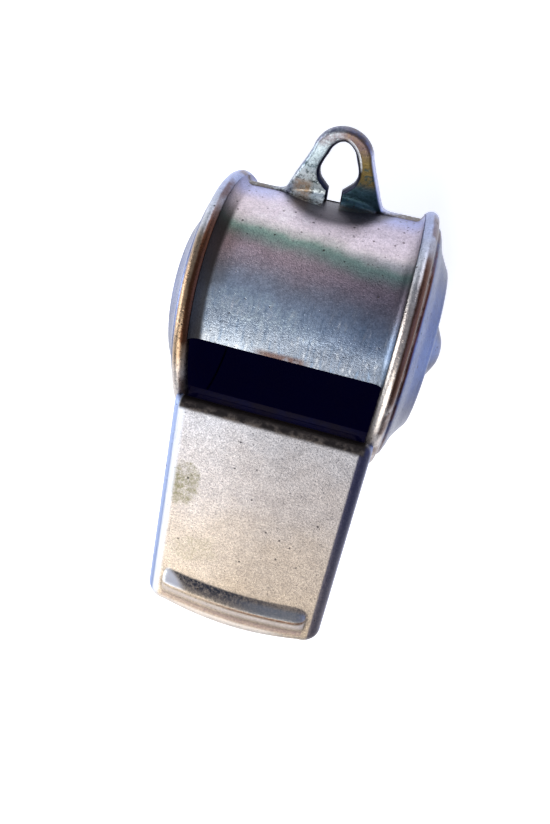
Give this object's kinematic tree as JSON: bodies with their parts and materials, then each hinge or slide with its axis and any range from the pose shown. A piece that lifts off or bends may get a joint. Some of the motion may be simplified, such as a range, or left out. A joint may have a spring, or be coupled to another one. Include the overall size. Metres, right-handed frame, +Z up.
{
  "type": "pea whistle",
  "caption": "Nickel-plated brass pea whistle with a round barrel, dished side caps with rolled rims, flat mouthpiece with a tooth ridge, keyhole lanyard loop and a cork pea.",
  "frame": {"origin": "under the middle of the whistle's length and width, level with the lowest point of the rolled rims, with the mouthpiece held level", "axes": "+X along the barrel's axis to the player's right as it is blown, which is the right side cap; +Y from the mouthpiece's tip to the lanyard loop; +Z up out of the window"},
  "size_m": [0.0238, 0.0431, 0.0222],
  "materials": {
    "plated_barrel": "worn, tarnished nickel plate over brass, polished by handling",
    "plated_cap": "nickel plate worn through to brass on the rolled rims",
    "plated_mouthpiece": "satin nickel plate, yellowed towards the tip",
    "cork": "bare ground cork"
  },
  "bodies": {
    "whistle_case": {"upper_shell": "plated_barrel", "lower_shell": "plated_barrel", "left_side_cap": "plated_cap", "right_side_cap": "plated_cap", "mouthpiece_top": "plated_mouthpiece", "mouthpiece_floor": "plated_mouthpiece", "windway_plate": "plated_mouthpiece"},
    "loose_pea": {"pea": "cork"}
  },
  "joints": [
    {"name": "pea_orbit", "type": "hinge", "parent": "whistle_case", "child": "loose_pea", "pos_m": [0, 0.00594, 0.0111], "axis": [1, 0, 0], "continuous": true}
  ]
}
